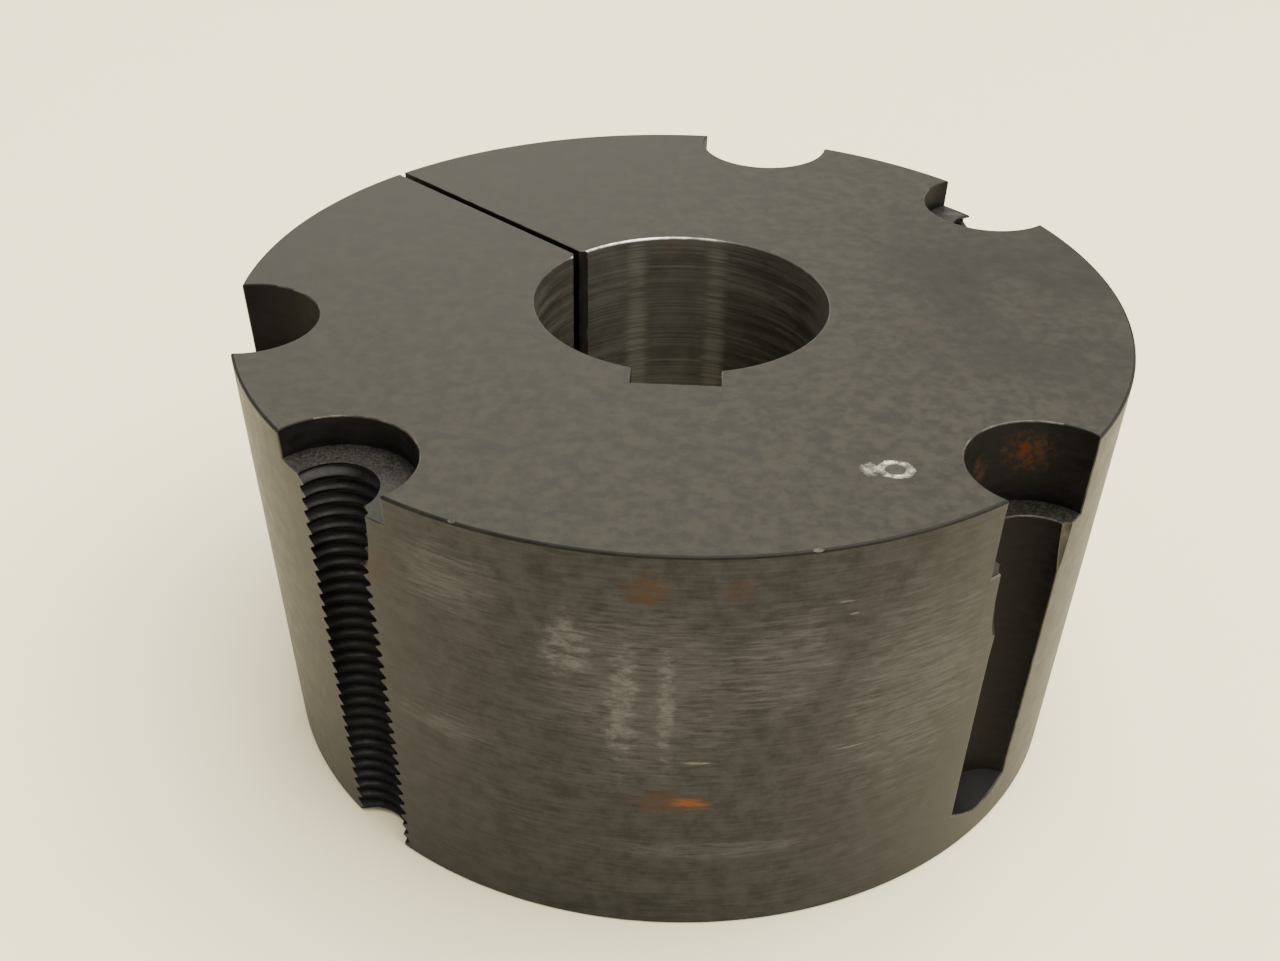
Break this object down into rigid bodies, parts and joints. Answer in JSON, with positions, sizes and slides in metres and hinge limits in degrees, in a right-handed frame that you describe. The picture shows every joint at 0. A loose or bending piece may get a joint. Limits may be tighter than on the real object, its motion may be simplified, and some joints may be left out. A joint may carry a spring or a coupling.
{
  "type": "split taper bush",
  "caption": "Split taper bush that locks a hub to a keyed shaft: cone outside, straight keyed bore, one slit, and half-round screw and jack holes down its outside.",
  "frame": {"origin": "centre of the small end's face, on the bore's axis", "axes": "+Z along the bore's axis, from the small end up to the large end"},
  "size_m": [0.1269, 0.127, 0.0635],
  "materials": {
    "bush_iron": "machined grey iron, dull and dark, with faint rust spots and brighter worn edges"
  },
  "bodies": {
    "keyed_jaw": {"keyed_jaw": "bush_iron"},
    "plain_jaw": {"plain_jaw": "bush_iron"}
  },
  "joints": [
    {"name": "slit_closing", "type": "hinge", "parent": "keyed_jaw", "child": "plain_jaw", "pos_m": [0.02733, -0.0264, 0], "axis": [0, 0, 1], "range_deg": [-0.15, 0.5], "stiffness_Nm_per_rad": 300}
  ]
}
